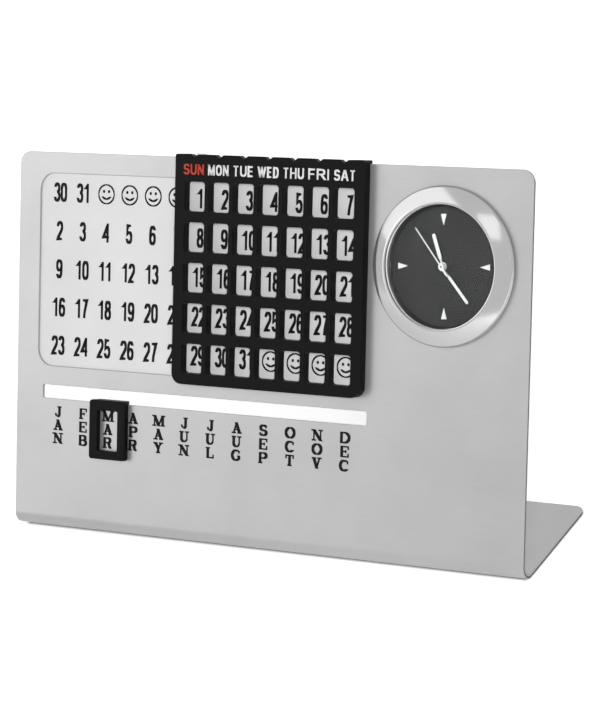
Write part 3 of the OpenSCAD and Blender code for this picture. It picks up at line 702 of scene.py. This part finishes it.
@dataclass(frozen=True)
class Lettering:
    """A set of signs at one size, drawn with one pen."""

    signs: dict[str, Glyph]
    pen: Pen
    height: float
    gap: float = 0.0
    foot: float = 0.0
    cell: float = 0.0
    left_share: float = 0.35

    def span(self, word: str) -> float:
        """Return the width of a word from edge to edge."""
        inked = sum(self.signs[c].width * self.height for c in word)
        return inked + self.gap * (len(word) - 1)

    def number(self, mesh: bmesh.types.BMesh, figures: str, middle: float, low: float) -> None:
        """Draw a number in even cells about a middle line.

        Args:
            mesh: The bmesh that gets it.
            figures: The number.
            middle: The middle of the number, across.
            low: The lower edge of its ink.
        """
        widest = self.signs["0"].width * self.height
        left = middle - ((len(figures) - 1) * self.cell + widest) / 2
        for figure in figures:
            glyph = self.signs[figure]
            spare = max(0.0, widest - glyph.width * self.height) if len(figures) > 1 else 0.0
            self.sign(mesh, glyph, left + spare * self.left_share, low)
            left += self.cell

    def path(self, stroke: Stroke, base: Vector, wide: float, tall: float) -> list[Vector]:
        """Scale a stroke, and draw its steep ends out to the edge of the ink.

        Args:
            stroke: The stroke in its unit box.
            base: The box's lower left corner.
            wide: The box's width.
            tall: The box's height.

        Returns:
            The points of its middle line.
        """
        spots: list[Vector] = []
        for part in stroke:
            for x, y in part.points() if isinstance(part, Bow) else [part]:
                spot = base + Vector((x * wide, y * tall))
                if not spots or (spot - spots[-1]).length > 1e-4:
                    spots.append(spot)
        if (spots[0] - spots[-1]).length < 1e-4:
            return spots
        for end, inner in ((0, 1), (-1, -2)):
            run = (spots[end] - spots[inner]).normalized()
            share = (spots[end].y - base.y) / tall
            if abs(run.y) > self.pen.steep and min(abs(share), abs(share - 1)) < 1e-3:
                spots[end] = spots[end] + run * (self.pen.level / 2 / abs(run.y))
        return spots

    def sign(
        self, mesh: bmesh.types.BMesh, glyph: Glyph, left: float, low: float, stretch: float = 1.0
    ) -> None:
        """Draw one sign.

        Args:
            mesh: The bmesh that gets it.
            glyph: The sign.
            left: The left edge of its ink.
            low: The lower edge of its ink.
            stretch: How much wider than usual it is.
        """
        wide = glyph.width * self.height * stretch - self.pen.upright
        tall = self.height - self.pen.level
        base = Vector((left + self.pen.upright / 2, low + self.pen.level / 2))
        for strokes, weight in ((glyph.strokes, 1.0), (glyph.thin, self.pen.light)):
            for stroke in strokes:
                self.pen.stroke(mesh, self.path(stroke, base, wide, tall), weight)
        half = Vector((self.foot / 2, 0))
        for x, y in glyph.feet:
            spot = base + Vector((x * wide, y * tall))
            self.pen.stroke(mesh, [spot - half, spot + half])
        for x, y, radius in glyph.dots:
            self.pen.dot(mesh, base + Vector((x * wide, y * tall)), radius)

    def word(
        self, mesh: bmesh.types.BMesh, word: str, middle: float, low: float, span: float = 0.0
    ) -> None:
        """Draw a word about a middle line.

        Args:
            mesh: The bmesh that gets it.
            word: The word.
            middle: The middle of the word, across.
            low: The lower edge of its ink.
            span: The width that it is fitted to, or 0 for its own.
        """
        own = self.span(word)
        ink = sum(self.signs[c].width * self.height for c in word)
        stretch = 1.0 + (span - own) / ink if span else 1.0
        left = middle - (span or own) / 2
        for character in word:
            glyph = self.signs[character]
            self.sign(mesh, glyph, left, low, stretch)
            left += glyph.width * self.height * stretch + self.gap


# Pieces -----------------------------------------------------------------------------------------


def rounded(mesh: bmesh.types.BMesh, width: float, segments: int, sharp: float) -> None:
    """Round the sharp edges of a mesh.

    Args:
        mesh: The bmesh.
        width: The width of the rounding.
        segments: How many faces it has across.
        sharp: Edges that turn by more degrees than this are rounded.
    """
    keen = [
        e for e in mesh.edges
        if e.is_manifold and math.degrees(e.calc_face_angle(0.0)) > sharp
    ]
    bmesh.ops.bevel(
        mesh, geom=keen, offset=width, offset_type="OFFSET", segments=segments, profile=0.5,
        affect="EDGES", clamp_overlap=True, material=-1,
    )


def bevelled(node: str, width: float, segments: int = 2, sharp: float = 40.0) -> bmesh.types.BMesh:
    """Copy a CAD node and round its sharp edges.

    Args:
        node: The node's name.
        width: The width of the rounding.
        segments: How many faces it has across.
        sharp: Edges that turn by more degrees than this are rounded.

    Returns:
        The rounded copy, in the panel's millimetres.
    """
    mesh = cad_copy(node)
    rounded(mesh, width, segments, sharp)
    return mesh


@dataclass
class SheetStand:
    """The bent sheet: brushed all over, with a paler satin floor in the pressed field."""

    edge: float = 0.15
    floor_w: float = -0.7
    floor_gap: float = 0.03
    floor_facing: float = 0.99
    side_u: float = 96.9
    side_facing: float = 0.97

    def build(self) -> None:
        """Round the sheet's edges, finish the field's floor and paint shade on the cut sides."""
        mesh = bevelled("bent_sheet", self.edge)
        for face in mesh.faces:
            middle = face.calc_center_median()
            level = abs(middle.z - self.floor_w) < self.floor_gap
            if level and face.normal.z > self.floor_facing:
                face.material_index = 1
            elif abs(middle.x) > self.side_u and abs(face.normal.x) > self.side_facing:
                # the side faces get the painted shade, a dark line along the sheet's edges
                face.material_index = 2
        sheet = piece(
            "sheet", mesh, PANEL.axes(), SHEET_STEEL, "stand", extra=(FIELD_SATIN, PAINTED_SIDE_SHADE)
        )
        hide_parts("bent_sheet")


@dataclass
class DatePrint:
    """The date figures and smiling faces on the pressed field, and the months below the slot."""

    first_u: float = -80.83
    first_v: float = 114.13
    columns: int = 13
    rows: int = 5
    column_pitch: float = 9.361
    row_pitch: float = 12.729
    floor_w: float = -0.7
    face_width: float = 6.7
    month_u: float = -79.74
    month_v: float = 36.66
    month_pitch: float = 10.176
    letter_pitch: float = 4.43
    figures: Lettering = Lettering(FIGURES, Pen(0.90, 0.70), 6.3, cell=2.74)
    letters: Lettering = Lettering(FOOTED, Pen(1.06, 0.50, 0.55), 3.65, foot=1.7)
    line: Lettering = Lettering({}, Pen(0.46, 0.46), 6.7)
    months: tuple[str, ...] = (
        "JAN", "FEB", "MAR", "APR", "MAY", "JUN", "JUL", "AUG", "SEP", "OCT", "NOV", "DEC",
    )
    carried: tuple[str, ...] = ("30", "31")
    last_day: int = 31
    day_before: int = -5

    def entry(self, row: int, column: int) -> str:
        """Return the figure at a place of the field, or nothing for a smiling face.

        Args:
            row: The row, from the top.
            column: The column, from the left.

        Returns:
            The date. The first row starts with the last dates of a long month.
        """
        if row == 0 and column < len(self.carried):
            return self.carried[column]
        day = 7 * row + column + self.day_before
        return str(day) if 1 <= day <= self.last_day else ""

    def build(self) -> None:
        """Print the dates and the months on the sheet."""
        mesh = bmesh.new()
        half = self.face_width / 2
        for row in range(self.rows):
            for column in range(self.columns):
                u = self.first_u + column * self.column_pitch
                v = self.first_v - row * self.row_pitch
                day = self.entry(row, column)
                if day:
                    self.figures.number(mesh, day, u, v - self.figures.height / 2)
                else:
                    self.line.sign(mesh, SMILE, u - half, v - half)
        self.figures.pen.solid(mesh)
        piece("date_print", mesh, PANEL.at(w=self.floor_w), INK_BLACK, "stand")
        mesh = bmesh.new()
        for i, month in enumerate(self.months):
            for place, letter in enumerate(month):
                v = self.month_v + (1 - place) * self.letter_pitch - self.letters.height / 2
                self.letters.word(mesh, letter, self.month_u + i * self.month_pitch, v)
        self.letters.pen.solid(mesh)
        piece("month_print", mesh, PANEL.at(), INK_BLACK, "stand")


@dataclass
class WeekdaySlider:
    """The black weekday grid that hangs over the panel's top edge."""

    edge: float = 0.3
    face_w: float = 3.4
    first_u: float = -24.92
    pitch: float = 9.48
    low_v: float = 121.88
    label_width: float = 7.85
    letters: Lettering = Lettering(CAPITALS, Pen(0.57, 0.46), 3.40, 0.44)
    days: tuple[str, ...] = ("SUN", "MON", "TUE", "WED", "THU", "FRI", "SAT")

    def build(self) -> None:
        """Round the grid's edges and print the weekdays on it."""
        grid = piece(
            "weekday_grid", bevelled("date_slider", self.edge), PANEL.axes(), SLIDER_BLACK,
            "date_slider",
        )
        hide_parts("date_slider")
        self.label("sunday_print", range(1), INK_RED)
        self.label("weekday_print", range(1, 7), INK_WHITE)

    def label(self, name: str, days: range, ink: Finish) -> None:
        """Print some of the weekdays.

        Args:
            name: The piece's name.
            days: Which of them.
            ink: The ink.
        """
        mesh = bmesh.new()
        for i in days:
            self.letters.word(
                mesh, self.days[i], self.first_u + i * self.pitch, self.low_v, self.label_width
            )
        self.letters.pen.solid(mesh)
        piece(name, mesh, PANEL.at(w=self.face_w), ink, "date_slider")


@dataclass
class MonthFrame:
    """The black frame that hangs in the slot."""

    edge: float = 0.4

    def build(self) -> None:
        """Round the frame's edges."""
        made = piece(
            "month_frame", bevelled("month_slider", self.edge, 3), PANEL.axes(), SLIDER_BLACK,
            "month_slider",
        )
        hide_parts("month_slider")


@dataclass
class ClockFace:
    """The clock's bezel and the polished ring between its lens and its dial."""

    around: int = 144
    bezel_r: float = 25.0
    rim_t: float = 1.0
    bezel_h: float = 3.5
    sight_r: float = 19.35
    flat: float = 0.65
    shoulder: float = 0.5
    shoulder_h: float = 1.8
    lip: float = 0.35
    case_r: float = 20.45
    wall: float = 0.8
    skirt_w: float = -2.2
    inset: float = 0.3
    edge: float = 0.16
    keen: float = 18.0
    ring_r: float = 20.35
    ring_h: float = 2.3
    ring_foot_r: float = 18.4
    chamfer: float = 0.28
    chamfer_in: float = 0.15
    flat_facing: float = 0.9
    chamfer_facing: float = 0.5

    def place(self) -> Matrix:
        """Return the matrix that places a mesh about the clock's centre."""
        return PANEL.at(PANEL.clock_u, PANEL.clock_v)

    def turned(self, profile: list[tuple[float, float]]) -> bmesh.types.BMesh:
        """Turn a closed profile of radius and height into a ring.

        Args:
            profile: The profile's corners, in order.

        Returns:
            The ring.
        """
        mesh = bmesh.new()
        corners = [mesh.verts.new((r, 0.0, w)) for r, w in profile]
        for a, b in zip(corners, corners[1:] + corners[:1]):
            mesh.edges.new((a, b))
        bmesh.ops.spin(
            mesh, geom=mesh.verts[:] + mesh.edges[:], cent=(0, 0, 0), axis=(0, 0, 1),
            angle=2 * math.pi, steps=self.around, use_merge=True,
        )
        bmesh.ops.recalc_face_normals(mesh, faces=mesh.faces)
        return mesh

    def bezel(self) -> None:
        """Turn the bezel and round its edges."""
        skin = self.rim_t + self.inset
        outer = self.case_r + self.wall
        mesh = self.turned([
            (self.bezel_r, 0.0), (self.bezel_r, self.rim_t),
            (self.bezel_r - self.shoulder, self.shoulder_h),
            (self.sight_r + self.flat, self.bezel_h), (self.sight_r, self.bezel_h),
            (self.sight_r, self.bezel_h - self.lip), (self.case_r, self.bezel_h - self.lip),
            (self.case_r, self.skirt_w), (outer, self.skirt_w),
            (outer, self.bezel_h - 2 * skin), (self.bezel_r - skin, 0.0),
        ])
        rounded(mesh, self.edge, 3, self.keen)
        made = piece("bezel", mesh, self.place(), BEZEL_METAL, "stand", smooth=40.0)
        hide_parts("clock_bezel")

    def ring(self) -> None:
        """Turn the polished ring under the lens, with its bright chamfer."""
        inner = self.sight_r - self.chamfer_in
        mesh = self.turned([
            (self.ring_foot_r, 0.0), (inner, self.ring_h - self.chamfer),
            (inner + self.chamfer, self.ring_h), (self.ring_r, self.ring_h), (self.ring_r, 0.0),
        ])
        for face in mesh.faces:
            if face.normal.z > self.flat_facing:
                face.material_index = 2
            elif face.normal.z > self.chamfer_facing:
                face.material_index = 1
        made = piece(
            "lens_seat", mesh, self.place(), REHAUT_DARK, "stand",
            extra=(MARK_SILVER, WALL_BLACK),
        )
        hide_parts("spacer_ring")

    def build(self) -> None:
        """Build the bezel and the ring."""
        self.bezel()
        self.ring()


# Stage ------------------------------------------------------------------------------------------


@dataclass(frozen=True)
class Lamp:
    """A square soft lamp that faces the object, in metres and watts."""

    name: str
    place: tuple[float, float, float]
    size: float
    power: float
    mirrored: bool = True
    aim: tuple[float, float, float] = (0.0, 0.0, 0.05)

    def hang(self) -> None:
        """Hang the lamp at its place."""
        data = bpy.data.lights.new(self.name, "AREA")
        data.size = self.size
        data.energy = self.power
        made = bpy.data.objects.new(self.name, data)
        made.location = self.place
        way = Vector(self.aim) - Vector(self.place)
        made.rotation_euler = way.to_track_quat("-Z", "Y").to_euler()
        made.visible_glossy = self.mirrored
        bpy.context.scene.collection.objects.link(made)


@dataclass
class Studio:
    """The pale floor, the soft lamps, the plain surround and the camera, in metres.

    The floor and the surround shine more for what looks at them than for what they light. The
    floor's shine and its paleness both grow with the distance from the object's foot, so that a
    painted contact shadow lies right at the foot.
    """

    reach: tuple[float, float, float] = (0.551167, -0.703417, 0.505301)
    yaw: float = 36.249
    pitch: float = 26.246
    roll: float = -13.584
    lens: float = 159.516
    sensor: float = 36.0
    sight: float = 20.0
    floor_half: float = 4.0
    floor_rough: float = 0.9
    foot_middle: tuple[float, float, float] = (0.0, -0.0063, 0.0)
    foot_half: tuple[float, float, float] = (0.0947, 0.0193, 0.0)
    # painted contact shadow at the object's foot: the floor's colour is dark and its glow fades there
    contact_reach: tuple[float, float] = (0.0, 0.0015)
    contact_pale: tuple[float, float] = (0.08, 0.9)
    near_reach: tuple[float, float] = (-0.001, 0.0045)
    near_shine: tuple[float, float] = (0.0, 0.42)
    far_reach: tuple[float, float] = (0.05, 1.1)
    far_shine: tuple[float, float] = (0.0, 0.53)
    camera_extra: float = 0.6
    surround_light: float = 0.13
    lamps: tuple[Lamp, ...] = (
        Lamp("lamp_high", (-0.64, -0.38, 0.68), 0.75, 1.9),
        Lamp("lamp_top", (0.138, -0.66, 0.834), 0.28, 0.26),
        Lamp("lamp_low", (-0.62, -0.54, 0.34), 0.5, 0.9),
        Lamp("lamp_back", (-0.60, 0.80, 0.60), 0.5, 0.5),
        Lamp("lamp_front", (0.56, -0.76, 0.55), 0.25, 11.6, mirrored=False),
    )

    def build(self) -> None:
        """Make the floor, the surround, the lamps and the camera."""
        self.floor()
        self.surround()
        for lamp in self.lamps:
            lamp.hang()
        self.camera()

    def floor(self) -> None:
        """Lay a pale floor that keeps the object's shadow and has a painted contact shadow."""
        mesh = bmesh.new()
        bmesh.ops.create_grid(mesh, x_segments=1, y_segments=1, size=self.floor_half)
        data = bpy.data.meshes.new("floor")
        mesh.to_mesh(data)
        mesh.free()
        paint = bpy.data.materials.new("floor_white")
        paint.use_nodes = True
        tree = paint.node_tree
        shader = tree.nodes["Principled BSDF"]
        shader.inputs["Roughness"].default_value = self.floor_rough
        shader.inputs["Specular IOR Level"].default_value = 0.0
        shader.inputs["Emission Color"].default_value = (1.0, 1.0, 1.0, 1.0)
        away = self.away(tree)
        # painted contact shadow: the floor's colour is dark right at the object's foot and pale from 1.5 mm off
        pale = stretched(tree, away, self.contact_reach, self.contact_pale)
        tree.links.new(pale, shader.inputs["Base Color"])
        # the glow fades to nothing at the foot, part of the painted contact shadow, and grows far off
        shine = reckoned(
            tree, "ADD", stretched(tree, away, self.near_reach, self.near_shine),
            stretched(tree, away, self.far_reach, self.far_shine),
        )
        path = tree.nodes.new("ShaderNodeLightPath")
        share = reckoned(
            tree, "MULTIPLY_ADD", path.outputs["Is Camera Ray"], self.camera_extra,
            self.seen_directly(tree),
        )
        strength = reckoned(tree, "MULTIPLY", share, shine)
        tree.links.new(strength, shader.inputs["Emission Strength"])
        data.materials.append(paint)
        floor = bpy.data.objects.new("floor", data)
        bpy.context.scene.collection.objects.link(floor)

    def away(self, tree: bpy.types.NodeTree) -> bpy.types.NodeSocket:
        """Measure how far a place on the floor is from the object's foot.

        Args:
            tree: The floor's node tree.

        Returns:
            The distance in metres, 0 under the foot.
        """
        gap = tree.nodes.new("ShaderNodeTexCoord").outputs["Object"]
        for operation, vector in (
            ("SUBTRACT", self.foot_middle), ("ABSOLUTE", None), ("SUBTRACT", self.foot_half),
            ("MAXIMUM", (0.0, 0.0, 0.0)),
        ):
            step = tree.nodes.new("ShaderNodeVectorMath")
            step.operation = operation
            tree.links.new(gap, step.inputs[0])
            if vector:
                step.inputs[1].default_value = vector
            gap = step.outputs[0]
        length = tree.nodes.new("ShaderNodeVectorMath")
        length.operation = "LENGTH"
        tree.links.new(gap, length.inputs[0])
        return length.outputs["Value"]

    @staticmethod
    def seen_directly(tree: bpy.types.NodeTree) -> bpy.types.NodeSocket:
        """Tell the rays that look at the stage from those that light the object.

        Args:
            tree: The node tree.

        Returns:
            A socket that is 1 for camera, glossy and transmission rays.
        """
        path = tree.nodes.new("ShaderNodeLightPath")
        seen = path.outputs["Is Camera Ray"]
        for ray in ("Is Glossy Ray", "Is Transmission Ray"):
            seen = reckoned(tree, "MAXIMUM", seen, path.outputs[ray])
        return seen

    def surround(self) -> None:
        """Make the surround white where it is looked at, and softer as a light."""
        world = bpy.data.worlds.new("surround")
        bpy.context.scene.world = world
        world.use_nodes = True
        tree = world.node_tree
        back = tree.nodes["Background"]
        back.inputs["Color"].default_value = (1.0, 1.0, 1.0, 1.0)
        seen = self.seen_directly(tree)
        level = stretched(tree, seen, (0.0, 1.0), (self.surround_light, 1.0))
        tree.links.new(level, back.inputs["Strength"])

    def camera(self) -> None:
        """Put the camera at the photograph's place and tilt."""
        yaw, pitch, roll = (math.radians(a) for a in (self.yaw, self.pitch, self.roll))
        forward = Vector(
            (-math.sin(yaw) * math.cos(pitch), math.cos(yaw) * math.cos(pitch), -math.sin(pitch))
        )
        right = Vector((math.cos(yaw), math.sin(yaw), 0.0))
        up = right.cross(forward)
        side = math.cos(roll) * right + math.sin(roll) * up
        top = -math.sin(roll) * right + math.cos(roll) * up
        data = bpy.data.cameras.new("camera")
        data.lens = self.lens
        data.sensor_width = self.sensor
        data.sensor_fit = "AUTO"
        data.clip_end = self.sight
        made = bpy.data.objects.new("camera", data)
        turn = Matrix((side, top, -forward)).transposed().to_4x4()
        corner = PANEL.axes().translation
        made.matrix_world = Matrix.Translation(corner + Vector(self.reach)) @ turn
        bpy.context.scene.collection.objects.link(made)
        bpy.context.scene.camera = made


def dress_nodes() -> None:
    """Give every CAD node the finish of its own material slot."""
    for part in frame["record"]["subparts"]:
        finish = CAD_FINISHES[part["material_slot"]]
        for spot in frame["nodes"][part["node"]].material_slots:
            spot.material = finish.material()
        LOG.info("%s: %s", part["node"], finish.name)


def main() -> None:
    """Dress the nodes, build the pieces and set the stage."""
    logging.basicConfig(level=logging.INFO, format="%(name)s: %(message)s")
    bpy.context.scene.view_settings.view_transform = "Standard"
    dress_nodes()
    SheetStand().build()
    DatePrint().build()
    WeekdaySlider().build()
    MonthFrame().build()
    ClockFace().build()
    Studio().build()


if __name__ == "__main__":
    main()
